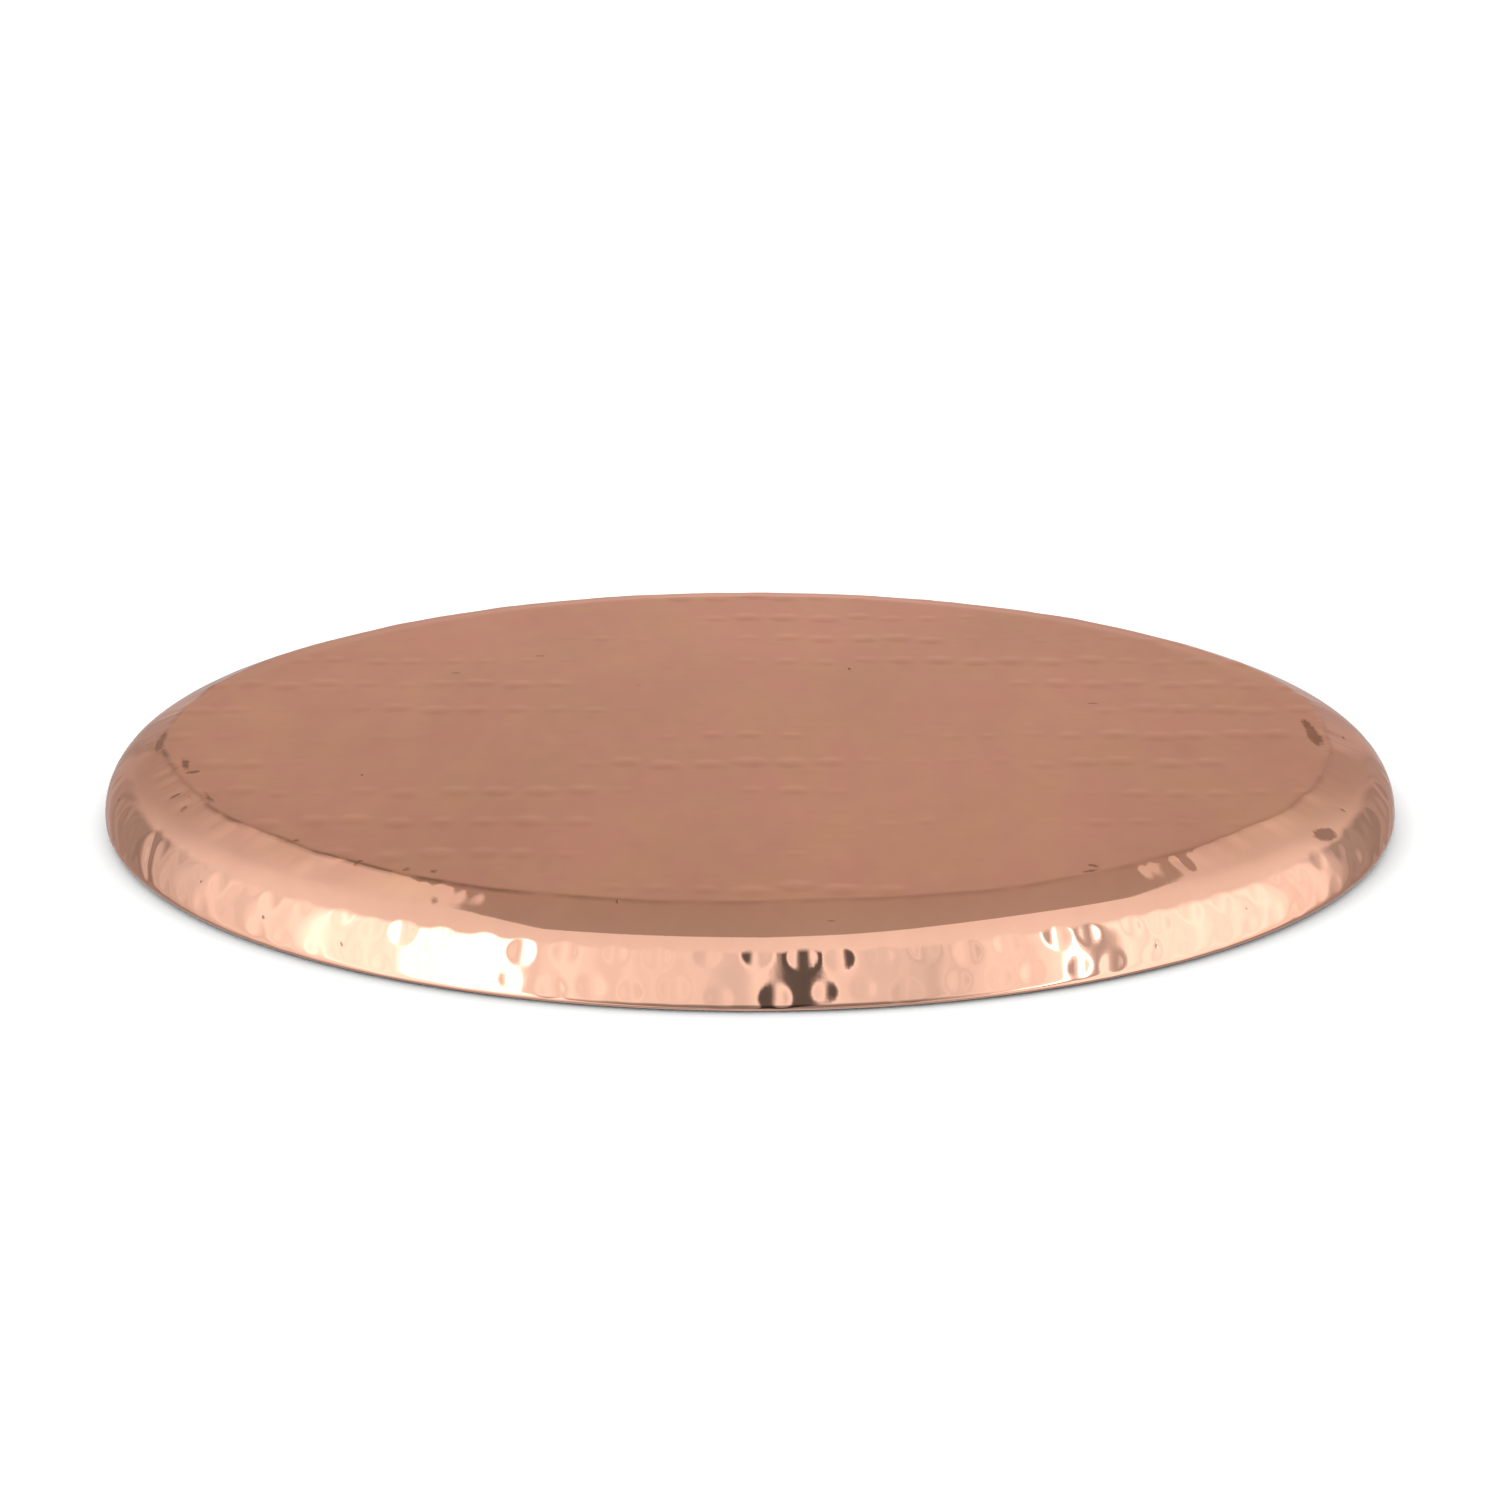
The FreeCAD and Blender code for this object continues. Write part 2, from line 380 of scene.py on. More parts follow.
def swing_shares(rings, bearings):
    """How far the sheet near the crease strays outwards at every point, in metres."""
    travel = np.array([r.travel for r in rings])
    out = np.zeros(len(rings))
    for swing in SWINGS:
        apart = (bearings - math.radians(swing.bearing) + math.pi) % FULL_TURN - math.pi
        out += swing.out * MM * np.exp(-((apart / math.radians(swing.spread)) ** 2))
    return out * np.exp(-((travel / SWING_REACH) ** 2))


def blemish_shares(rings, bearings):
    """Depth in metres and darkness of the dings at every point, from each ding's own smooth oval."""
    travel = np.array([r.travel for r in rings])
    radius = np.array([max(r.outside_radius, MM) for r in rings])
    depth = np.zeros(len(rings))
    stain = np.zeros(len(rings))
    for mark in BLEMISHES:
        apart = (bearings - math.radians(mark.bearing) + math.pi) % FULL_TURN - math.pi
        along = apart * radius / MM
        down = travel / MM - mark.travel
        turn = math.radians(mark.turn)
        length = (along * math.cos(turn) + down * math.sin(turn)) / (mark.length / 2)
        width = (down * math.cos(turn) - along * math.sin(turn)) / (mark.width / 2)
        bell = np.exp(-(length ** 2 + width ** 2))
        depth += mark.depth * MM * bell
        stain = np.maximum(stain, mark.stain * bell)
    return depth, stain


# Between rings, on the crease, shoulder, wall, bead and tuck. On the base it is the length of an edge.
OUTER_STEPS = (0.65 * MM, 1.6 * MM, MM, 1.2 * MM, 1.6 * MM)
INNER_STEPS = (MM, 3 * MM, 2.2 * MM, 1.4 * MM, 1.6 * MM)
# How much of each blow the sheet takes, from the base to the tuck: the sheet round the wire takes none.
OUTER_GIVES = (1, 1, 1, 1, 1, 0)
INNER_GIVES = (1, 1, 1, 0.6, 0, 0)


def plain_pan(sheet):
    """The pan before it is struck: one closed sheet, whose points know the outside of the sheet there."""
    runs = section_runs(sheet)
    _, _, gauge, _ = tray_sizes(sheet)
    wall, base, inner = sheet.wall_edge, sheet.base_edge, sheet.inner_edge
    edges = (base, wall, wall, wall, wall, inner)
    outer = skin_rings(runs, edges, (base, *OUTER_STEPS), 0, OUTER_GIVES)
    under = skin_rings(runs, (inner,) * len(runs), (inner, *INNER_STEPS), gauge, INNER_GIVES)
    rings = outer + under[::-1]
    points, outside, facing, owners, bearings, faces = [], [], [], [], [], []
    previous = None
    for ring in rings:
        start = len(points)
        for i in range(ring.count):
            angle = FULL_TURN * i / ring.count
            right, ahead = math.sin(angle), -math.cos(angle)
            points.append((ring.radius * right, ring.radius * ahead, ring.height))
            outside.append((ring.outside_radius * right, ring.outside_radius * ahead, ring.outside_height))
            lean = math.sin(ring.tilt)
            facing.append((lean * right, lean * ahead, math.cos(ring.tilt)))
            owners.append(ring)
            bearings.append(angle)
        if previous:
            faces += stitch(*previous, start, ring.count)
        previous = (start, ring.count)
    mesh = bpy.data.meshes.new("tray_pan_plain")
    mesh.from_pydata(points, [], faces)
    depth, stain = blemish_shares(owners, np.array(bearings))
    vectors = {"outside": outside, "facing": facing}
    for name, values in vectors.items():
        layer = mesh.attributes.new(name, "FLOAT_VECTOR", "POINT")
        layer.data.foreach_set("vector", np.array(values, np.float32).ravel())
    numbers = {
        "travel": [ring.travel for ring in owners],
        "give": [ring.give for ring in owners],
        "ding": depth,
        "stain": stain,
        "swing": swing_shares(owners, np.array(bearings)),
    }
    for name, values in numbers.items():
        layer = mesh.attributes.new(name, "FLOAT", "POINT")
        layer.data.foreach_set("value", np.array(values, np.float32))
    return mesh


# The hammer -----------------------------------------------------------------------------------------------

# How far a blow on the wall strays along its row, as a share of the space between blows, either way.
STEP_STRAY = 0.16
# A blow's lightness: none is full depth, and one leaves no mark. These are the lightest blows.
LIGHTEST_ON_WALL = 0.45
LIGHTEST_ON_BASE = 1.1
# The power with which a mark falls off from its middle: the base's marks have flatter middles.
WALL_CRISPNESS = 2.0
BASE_CRISPNESS = 3.0
# The wall is struck in full up to the first distance to each side of the tray's middle, and with the least
# force past the second.
FORCE_SIDES = (85 * MM, 135 * MM)
LEAST_FORCE = 0.6
# The slow waves are lowest up to the first distance to each side, and highest past the second.
WAVE_SIDES = (50 * MM, 150 * MM)
WAVE_SHARES = (0.5, 2.0)
# Towards the back the base rounds off into the crease: by how much, how far from the crease, and how far
# back it is in full.
SAG = 0.8 * MM
SAG_REACH = 10 * MM
SAG_BACK = 120 * MM
# The crease strays in full as far as the first from its line, and the sheet past the second stays put.
CREASE_REACH = (1.5 * MM, 11 * MM)


def hammer_tree(sheet, marks, material):
    """Geometry Nodes that strike the plain pan, and the values of its inputs by name."""
    rim, height, _, roll = tray_sizes(sheet)
    tree = bpy.data.node_groups.new("Planish the tray", "GeometryNodeTree")
    tree.is_modifier = True
    tree.interface.new_socket("Geometry", in_out="OUTPUT", socket_type="NodeSocketGeometry")
    tree.interface.new_socket("Geometry", in_out="INPUT", socket_type="NodeSocketGeometry")
    slope = sheet.shoulder_slope
    _, crease, shoulder, *_ = section_runs(sheet)
    to_tilt = 1 / sheet.wall_bend
    first_tilt = slope + (marks.first_row - crease.length - shoulder.length) * to_tilt
    values = {
        "Tray Radius": rim,
        "Tray Height": height,
        "Wall Bend": sheet.wall_bend,
        "Wall Foot": roll,
        "Wall Marks": marks.wall_marks,
        "Wall Rows": marks.wall_rows,
        "First Tilt": first_tilt,
        "Row Tilt": marks.row_pitch * to_tilt,
        "Wall Mark Radius": marks.wall_width / 2,
        "Wall Mark Depth": marks.wall_depth,
        "Base Mark Pitch": marks.base_pitch,
        "Base Row Pitch": marks.base_rows,
        "Base Mark Radius": marks.base_width / 2,
        "Base Mark Rise": marks.base_rise,
        "Scatter": marks.scatter,
        "Wave Height": marks.wave_height,
        "Waves": 1 / marks.wave_length,
        "Crease Wander": marks.crease_wander,
        "Seed": marks.seed,
        "Copper": material,
    }
    kinds = {int: "NodeSocketInt", float: "NodeSocketFloat", bpy.types.Material: "NodeSocketMaterial"}
    for name, value in values.items():
        tree.interface.new_socket(name, in_out="INPUT", socket_type=kinds[type(value)])
    given = add(tree, "NodeGroupInput").outputs

    index = add(tree, "GeometryNodeInputIndex").outputs[0]
    vectors, numbers = ("outside", "facing"), ("travel", "give", "ding", "swing")
    outside, facing, travel, give, ding, swing = (
        add(tree, "GeometryNodeInputNamedAttribute", {"Name": name}, data_type=kind).outputs[0]
        for kind, names in (("FLOAT_VECTOR", vectors), ("FLOAT", numbers)) for name in names
    )

    # Wall: one point for each blow, on the wall's bend or lifted off it where the blow was lighter.
    count = add(
        tree, MATH, {0: given["Wall Marks"], 1: given["Wall Rows"]}, operation="MULTIPLY"
    ).outputs[0]
    row = add(tree, MATH, {0: index, 1: given["Wall Marks"]}, operation="DIVIDE").outputs[0]
    row = add(tree, MATH, {0: row}, operation="FLOOR").outputs[0]
    stray = add(tree, MATH, {0: given["Scatter"], 1: given["Wall Bend"]}, operation="DIVIDE").outputs[0]
    least = add(tree, MATH, {0: stray, 1: -1.0}, operation="MULTIPLY").outputs[0]
    tilt_stray = add(tree, RANDOM, {2: least, 3: stray, "Seed": given["Seed"]}).outputs[1]
    tilt = add(tree, MATH, {0: row, 1: given["Row Tilt"], 2: given["First Tilt"]}, operation="MULTIPLY_ADD")
    tilt = add(tree, MATH, {0: tilt.outputs[0], 1: tilt_stray}).outputs[0]
    step_seed = add(tree, MATH, {0: given["Seed"], 1: 1.0}).outputs[0]
    step_stray = add(tree, RANDOM, {2: -STEP_STRAY, 3: STEP_STRAY, "Seed": step_seed}).outputs[1]
    step = add(tree, MATH, {0: row, 1: 0.5, 2: step_stray}, operation="MULTIPLY_ADD").outputs[0]
    step = add(tree, MATH, {0: step, 1: index}).outputs[0]
    turn = add(tree, MATH, {0: FULL_TURN, 1: given["Wall Marks"]}, operation="DIVIDE").outputs[0]
    bearing = add(tree, MATH, {0: step, 1: turn}, operation="MULTIPLY").outputs[0]
    light_seed = add(tree, MATH, {0: given["Seed"], 1: 2.0}).outputs[0]
    lightness = add(tree, RANDOM, {2: 0.0, 3: LIGHTEST_ON_WALL, "Seed": light_seed}).outputs[1]
    lift = add(tree, MATH, {0: lightness}, operation="SQRT").outputs[0]
    reach = add(
        tree, MATH, {0: lift, 1: given["Wall Mark Radius"], 2: given["Wall Bend"]}, operation="MULTIPLY_ADD"
    ).outputs[0]
    spoke = add(tree, COMBINE, {"Z": reach}).outputs[0]
    spoke = add(tree, ROTATE, {"Vector": spoke, "Angle": tilt}, rotation_type="Y_AXIS").outputs[0]
    hub = add(tree, MATH, {0: given["Tray Radius"], 1: given["Wall Bend"]}, operation="SUBTRACT").outputs[0]
    hub = add(tree, COMBINE, {"X": hub, "Z": given["Wall Foot"]}).outputs[0]
    blow = add(tree, VECTOR_MATH, {0: spoke, 1: hub}).outputs[0]
    blow = add(tree, ROTATE, {"Vector": blow, "Angle": bearing}, rotation_type="Z_AXIS").outputs[0]
    wall_blows = add(tree, "GeometryNodePoints", {"Count": count, "Position": blow}).outputs[0]

    # Base: rows of soft blows along X, from inside, strong in some parts and too light to see in others, in
    # patches some 90 mm wide. They are strongest towards the right of the back and the left of the front.
    # They stray twice as far across a row as along it.
    side = add(tree, MATH, {0: given["Tray Radius"], 1: 2.0}, operation="MULTIPLY").outputs[0]
    across = add(tree, MATH, {0: side, 1: given["Base Mark Pitch"]}, operation="DIVIDE").outputs[0]
    rows = add(tree, MATH, {0: side, 1: given["Base Row Pitch"]}, operation="DIVIDE").outputs[0]
    grid = add(
        tree, "GeometryNodeMeshGrid",
        {"Size X": side, "Size Y": side, "Vertices X": across, "Vertices Y": rows},
    ).outputs[0]
    place = add(tree, "GeometryNodeInputPosition").outputs[0]
    patch = add(tree, NOISE, {"Vector": place, "Scale": 11.0, "Detail": 1.0}).outputs[0]
    corner = add(tree, VECTOR_MATH, {0: place, 1: (1.0, 1.0, 0.0)}, operation="DOT_PRODUCT")
    corner = add(tree, MATH, {0: corner.outputs["Value"]}, operation="ABSOLUTE").outputs[0]
    patch = add(tree, MATH, {0: patch, 1: corner}).outputs[0]
    patch = add(tree, MAP_RANGE, {0: patch, 1: 0.53, 2: 0.7, 3: LIGHTEST_ON_BASE, 4: 0.0}).outputs[0]
    base_lift = add(tree, MATH, {0: patch}, operation="SQRT").outputs[0]
    base_lift = add(
        tree, MATH, {0: base_lift, 1: given["Base Mark Radius"], 2: given["Tray Height"]},
        operation="MULTIPLY_ADD",
    ).outputs[0]
    lateral = add(tree, MATH, {0: given["Scatter"], 1: -1.0}, operation="MULTIPLY").outputs[0]
    x_stray = add(tree, RANDOM, {2: lateral, 3: given["Scatter"], "Seed": light_seed}).outputs[1]
    y_stray = add(tree, RANDOM, {2: lateral, 3: given["Scatter"], "Seed": step_seed}).outputs[1]
    y_stray = add(tree, MATH, {0: y_stray, 1: 2.0}, operation="MULTIPLY").outputs[0]
    shift = add(tree, COMBINE, {"X": x_stray, "Y": y_stray, "Z": base_lift}).outputs[0]
    base_blows = add(tree, "GeometryNodeSetPosition", {"Geometry": grid, "Offset": shift}).outputs[0]

    # A mark falls off as a shallow bowl round its blow, and marks that meet share a sharp edge.
    depths = []
    for blows, radius, depth, crispness in (
        (wall_blows, given["Wall Mark Radius"], given["Wall Mark Depth"], WALL_CRISPNESS),
        (base_blows, given["Base Mark Radius"], given["Base Mark Rise"], BASE_CRISPNESS),
    ):
        near = add(
            tree, "GeometryNodeProximity", {0: blows, "Sample Position": outside}, target_element="POINTS"
        )
        far = add(tree, MATH, {0: near.outputs["Distance"], 1: radius}, operation="DIVIDE").outputs[0]
        bowl = add(tree, MATH, {0: far, 1: crispness}, operation="POWER").outputs[0]
        bowl = add(tree, MATH, {0: 1.0, 1: bowl}, operation="SUBTRACT", use_clamp=True).outputs[0]
        depths.append(add(tree, MATH, {0: bowl, 1: depth}, operation="MULTIPLY").outputs[0])
    # The wall is struck from outside. The base is struck from inside, so its marks stand out here.
    wall_depth, base_rise = depths
    # The two sides were planished more gently than the front and the back, but raised less evenly.
    parts = add(tree, SEPARATE, {0: outside}).outputs
    aside = add(tree, MATH, {0: parts["X"]}, operation="ABSOLUTE").outputs[0]
    low, high = FORCE_SIDES
    force = add(tree, MAP_RANGE, {0: aside, 1: low, 2: high, 3: 1.0, 4: LEAST_FORCE}).outputs[0]
    wall_depth = add(tree, MATH, {0: wall_depth, 1: force}, operation="MULTIPLY").outputs[0]
    sunk = add(tree, MATH, {0: wall_depth, 1: base_rise}, operation="SUBTRACT").outputs[0]
    sunk = add(tree, MATH, {0: sunk, 1: ding}).outputs[0]

    waves = add(
        tree, NOISE, {"Vector": outside, "Scale": given["Waves"], "Detail": 1.0, "Roughness": 0.35}
    ).outputs[0]
    waves = add(tree, MATH, {0: waves, 1: 0.5}, operation="SUBTRACT").outputs[0]
    (low, high), (calm, rough) = WAVE_SIDES, WAVE_SHARES
    uneven = add(tree, MAP_RANGE, {0: aside, 1: low, 2: high, 3: calm, 4: rough}).outputs[0]
    waves = add(tree, MATH, {0: waves, 1: uneven}, operation="MULTIPLY").outputs[0]
    rear = add(tree, MAP_RANGE, {0: parts["Y"], 1: 0.0, 2: SAG_BACK, 3: 0.0, 4: SAG}).outputs[0]
    beside = add(tree, MATH, {0: travel}, operation="ABSOLUTE").outputs[0]
    sag = add(
        tree, MAP_RANGE, {0: beside, 1: 0.0, 2: SAG_REACH, 3: 1.0, 4: 0.0}, interpolation_type="SMOOTHSTEP"
    ).outputs[0]
    sunk = add(tree, MATH, {0: sag, 1: rear, 2: sunk}, operation="MULTIPLY_ADD").outputs[0]
    sunk = add(
        tree, MATH, {0: waves, 1: given["Wave Height"], 2: sunk}, operation="MULTIPLY_ADD"
    ).outputs[0]
    sunk = add(tree, MATH, {0: sunk, 1: give}, operation="MULTIPLY").outputs[0]
    inward = add(tree, MATH, {0: sunk, 1: -1.0}, operation="MULTIPLY").outputs[0]
    struck = add(tree, VECTOR_MATH, {0: facing, "Scale": inward}, operation="SCALE").outputs[0]

    # The crease strays in and out in bends some 20 mm long, and the sheet beside it goes with it.
    level = add(tree, VECTOR_MATH, {0: outside, 1: (1.0, 1.0, 0.0)}, operation="MULTIPLY").outputs[0]
    out = add(tree, VECTOR_MATH, {0: level}, operation="NORMALIZE").outputs[0]
    wander = add(tree, NOISE, {"Vector": out, "Scale": 9.0, "Detail": 2.5, "Roughness": 0.5}).outputs[0]
    wander = add(tree, MAP_RANGE, {0: wander, 1: 0.3, 2: 0.7, 3: -1.0, 4: 1.0}).outputs[0]
    wander = add(tree, MATH, {0: wander, 1: given["Crease Wander"]}, operation="MULTIPLY").outputs[0]
    low, high = CREASE_REACH
    beside = add(
        tree, MAP_RANGE, {0: beside, 1: low, 2: high, 3: 1.0, 4: 0.0}, interpolation_type="SMOOTHSTEP"
    ).outputs[0]
    wander = add(tree, MATH, {0: wander, 1: beside, 2: swing}, operation="MULTIPLY_ADD").outputs[0]
    strayed = add(tree, VECTOR_MATH, {0: out, "Scale": wander}, operation="SCALE").outputs[0]

    offset = add(tree, VECTOR_MATH, {0: struck, 1: strayed}).outputs[0]
    pan = add(tree, "GeometryNodeSetPosition", {"Geometry": given["Geometry"], "Offset": offset}).outputs[0]
    pan = add(tree, "GeometryNodeSetShadeSmooth", {0: pan}).outputs[0]
    pan = add(tree, "GeometryNodeRealizeInstances", {0: pan}).outputs[0]
    pan = add(tree, "GeometryNodeSetMaterial", {0: pan, "Material": given["Copper"]}).outputs[0]
    add(tree, "NodeGroupOutput", {0: pan})
    return tree, values


def bake_modifier(source, tree, values, name):
    """Runs a Geometry Nodes tree on a mesh and returns an object that holds the plain result."""
    holder = bpy.data.objects.new(name + "_source", source)
    bpy.context.scene.collection.objects.link(holder)
    modifier = holder.modifiers.new("Planish", "NODES")
    modifier.node_group = tree
    for item in tree.interface.items_tree:
        if item.in_out == "INPUT" and item.name in values:
            modifier[item.identifier] = values[item.name]
    bpy.context.view_layer.update()
    graph = bpy.context.evaluated_depsgraph_get()
    mesh = bpy.data.meshes.new_from_object(holder.evaluated_get(graph), depsgraph=graph)
    bpy.data.objects.remove(holder)
    bpy.data.meshes.remove(source)
    mesh.name = name
    piece = bpy.data.objects.new(name, mesh)
    bpy.context.scene.collection.objects.link(piece)
    return piece


# Finishes -------------------------------------------------------------------------------------------------


def hammered_copper(finish):
    """Planished copper sheet: burnished bright on the wall, satin under a thin brown oxide film on top.

    To the eye: mirror-like pink copper broken up by the wall's marks, a browner and softer base, dark oxide
    in the dings and nicks, and faint streaks from wiping.
    """
    material, tree, surface = new_material("planished_copper")
    place = add(tree, "ShaderNodeTexCoord").outputs["Object"]
    travel = add(tree, "ShaderNodeAttribute", attribute_name="travel").outputs["Fac"]
    stain = add(tree, "ShaderNodeAttribute", attribute_name="stain").outputs["Fac"]

    # The film thins down the shoulder and is gone 20 mm below the crease. The burnish starts at the crease.
    polish = add(tree, MAP_RANGE, {0: travel, 1: -2 * MM, 2: 20 * MM}).outputs[0]
    burnish = add(tree, MAP_RANGE, {0: travel, 1: -1.5 * MM, 2: 1.5 * MM}).outputs[0]

    # Oxide film: soft clouds some 60 mm wide and a finer mottle of 6 mm, both longer the way it was rubbed.
    rubbed = add(tree, MAPPING, {"Vector": place, "Scale": (1.0, 0.4, 1.0)}).outputs[0]
    film = add(tree, NOISE, {"Vector": rubbed, "Scale": 1 / (60 * MM), "Detail": 4.0}).outputs[0]
    mottle = add(tree, NOISE, {"Vector": rubbed, "Scale": 1 / (6 * MM), "Detail": 5.0}).outputs[0]
    tone = add(tree, MATH, {0: mottle, 1: 0.3, 2: film}, operation="MULTIPLY_ADD").outputs[0]
    tone = add(tree, MAP_RANGE, {0: tone, 1: 0.45, 2: 0.85, 3: 0.87, 4: 1.0}).outputs[0]
    # Wiping has left faint streaks along X, some 40 mm long and 1 mm apart.
    wiped = add(
        tree, MAPPING, {"Vector": place, "Scale": (1 / (40 * MM), 1 / MM, 1 / MM)}
    ).outputs[0]
    wiped = add(tree, NOISE, {"Vector": wiped, "Scale": 1.0, "Detail": 3.0}).outputs[0]
    streak = add(tree, MAP_RANGE, {0: wiped, 1: 0.3, 2: 0.7, 3: 0.985, 4: 1.015}).outputs[0]
    streak = add(tree, MIX, {0: burnish, 2: streak, 3: 1.0}).outputs[0]
    tone = add(tree, MATH, {0: tone, 1: streak}, operation="MULTIPLY").outputs[0]
    drift = add(tree, NOISE, {"Vector": rubbed, "Scale": 1 / (16 * MM), "Detail": 3.0}).outputs[0]
    drift = add(tree, MAP_RANGE, {0: drift, 1: 0.35, 2: 0.65}).outputs[0]
    colour = add(
        tree, MIX, {0: drift, 6: tuple(finish.filmed), 7: tuple(finish.rosy)}, data_type="RGBA"
    ).outputs[2]
    colour = add(
        tree, MIX, {0: polish, 6: colour, 7: tuple(finish.polished)}, data_type="RGBA"
    ).outputs[2]
    colour = add(tree, VECTOR_MATH, {0: colour, "Scale": tone}, operation="SCALE").outputs[0]

    # Painted shade darkens the crease in patches 14 mm long, more of it at the left.
    crease_shade = add(tree, MATH, {0: travel, 1: 0.8 * MM}, operation="SUBTRACT").outputs[0]
    crease_shade = add(tree, MATH, {0: crease_shade}, operation="ABSOLUTE").outputs[0]
    crease_shade = add(tree, MAP_RANGE, {0: crease_shade, 1: 0.0, 2: 1.6 * MM, 3: 0.55, 4: 0.0}).outputs[0]
    patches = add(tree, NOISE, {"Vector": place, "Scale": 1 / (14 * MM), "Detail": 4.0}).outputs[0]
    patches = add(tree, MAP_RANGE, {0: patches, 1: 0.44, 2: 0.6, 3: 0.12, 4: 1.0}).outputs[0]
    side = add(tree, SEPARATE, {0: place}).outputs["X"]
    side = add(tree, MAP_RANGE, {0: side, 1: -80 * MM, 2: -20 * MM, 3: 1.0, 4: 0.3}).outputs[0]
    patches = add(tree, MATH, {0: patches, 1: side}, operation="MULTIPLY").outputs[0]
    crease_shade = add(tree, MATH, {0: crease_shade, 1: patches}, operation="MULTIPLY").outputs[0]

    # The dark oxide in the dings has a broken edge, from noise 2 mm wide.
    broken = add(tree, NOISE, {"Vector": place, "Scale": 1 / (2 * MM), "Detail": 4.0}).outputs[0]
    edge = add(tree, MATH, {0: broken, 1: 1.3, 2: 0.35}, operation="MULTIPLY_ADD").outputs[0]
    edge = add(tree, MATH, {0: edge, 1: stain}, operation="MULTIPLY").outputs[0]
    oxide = add(tree, MAP_RANGE, {0: edge, 1: 0.42, 2: 0.7}).outputs[0]

    # Nicks: dashes up to 1 mm wide and 4 mm long, along and across the rows, in one cell of every eight.
    across, along_x, along_y = 1 / (9 * MM), 1 / (30 * MM), 1 / (26 * MM)
    for stretch in ((along_x, across, across), (across, along_y, across)):
        cells = add(tree, MAPPING, {"Vector": place, "Rotation": (0.1, 0.1, 0.35), "Scale": stretch})
        cell = add(tree, "ShaderNodeTexVoronoi", {"Vector": cells.outputs[0], "Scale": 1.0})
        chosen = add(tree, "ShaderNodeSeparateColor", {0: cell.outputs["Color"]}).outputs[0]
        chosen = add(tree, MATH, {0: chosen, 1: 0.88}, operation="GREATER_THAN").outputs[0]
        dash = add(tree, MAP_RANGE, {0: cell.outputs["Distance"], 1: 0.045, 2: 0.07, 3: 1.0, 4: 0.0})
        dash = add(tree, MATH, {0: dash.outputs[0], 1: chosen}, operation="MULTIPLY").outputs[0]
        oxide = add(tree, MATH, {0: oxide, 1: dash}, operation="MAXIMUM").outputs[0]
    # The dark oxide in the dings and nicks, and the painted shade along the crease, both take the stain
    # colour.
    dark = add(tree, MATH, {0: oxide, 1: 0.62}, operation="MULTIPLY").outputs[0]
    dark = add(tree, MATH, {0: dark, 1: crease_shade}, operation="MAXIMUM").outputs[0]
    colour = add(
        tree, MIX, {0: dark, 6: colour, 7: tuple(finish.stain)}, data_type="RGBA"
    ).outputs[2]

    rough = add(
        tree, MAP_RANGE, {0: burnish, 3: finish.base_roughness, 4: finish.wall_roughness}
    ).outputs[0]
    rough = add(tree, MATH, {0: mottle, 1: 0.02, 2: rough}, operation="MULTIPLY_ADD").outputs[0]
    rough = add(tree, MATH, {0: oxide, 1: 0.3, 2: rough}, operation="MULTIPLY_ADD").outputs[0]

    # Relief too fine for the mesh: hammer chatter of 5 mm, and the hollows that the dark oxide lies in.
    chatter = add(tree, NOISE, {"Vector": place, "Scale": 1 / (5 * MM), "Detail": 2.0}).outputs[0]
    bump = add(tree, BUMP, {"Strength": 0.10, "Distance": 0.1 * MM, "Height": chatter}).outputs[0]
    bump = add(
        tree, BUMP, {"Strength": 0.5, "Distance": 0.1 * MM, "Height": oxide, "Normal": bump}, invert=True
    ).outputs[0]
    copper = add(
        tree, "ShaderNodeBsdfPrincipled",
        {"Base Color": colour, "Metallic": 1.0, "Roughness": rough, "Normal": bump,
         "Specular Tint": tuple(finish.edge_tint)},
    )
    tree.links.new(copper.outputs[0], surface)
    return material


def drawn_steel(finish):
    """Drawn mild-steel rod: dull grey, with long fine die lines round the ring and a few brown specks."""
    material, tree, surface = new_material("drawn_steel")
    place = add(tree, "ShaderNodeTexCoord").outputs["Object"]
    height = add(tree, SEPARATE, {0: place}).outputs["Z"]
    out = add(tree, VECTOR_MATH, {0: place}, operation="LENGTH").outputs["Value"]
    lines = add(tree, COMBINE, {"X": height, "Y": out}).outputs[0]
    # Die lines about 0.2 mm apart, which run with the rod because they don't change round the ring.
    lines = add(tree, NOISE, {"Vector": lines, "Scale": 1 / (0.2 * MM), "Detail": 2.0}).outputs[0]
    rust = add(tree, NOISE, {"Vector": place, "Scale": 1 / (4 * MM), "Detail": 5.0}).outputs[0]
    rust = add(tree, MAP_RANGE, {0: rust, 1: 0.6, 2: 0.72, 3: 0.0, 4: 0.7}).outputs[0]
    colour = add(
        tree, MIX, {0: rust, 6: tuple(finish.steel), 7: tuple(finish.rust)}, data_type="RGBA"
    ).outputs[2]
    rough = add(tree, MAP_RANGE, {0: lines, 3: 0.32, 4: 0.5}).outputs[0]
    bump = add(tree, BUMP, {"Strength": 0.3, "Distance": 0.02 * MM, "Height": lines}).outputs[0]
    steel = add(
        tree, "ShaderNodeBsdfPrincipled",
        {"Base Color": colour, "Metallic": 1.0, "Roughness": rough, "Normal": bump},
    )
    tree.links.new(steel.outputs[0], surface)
    return material


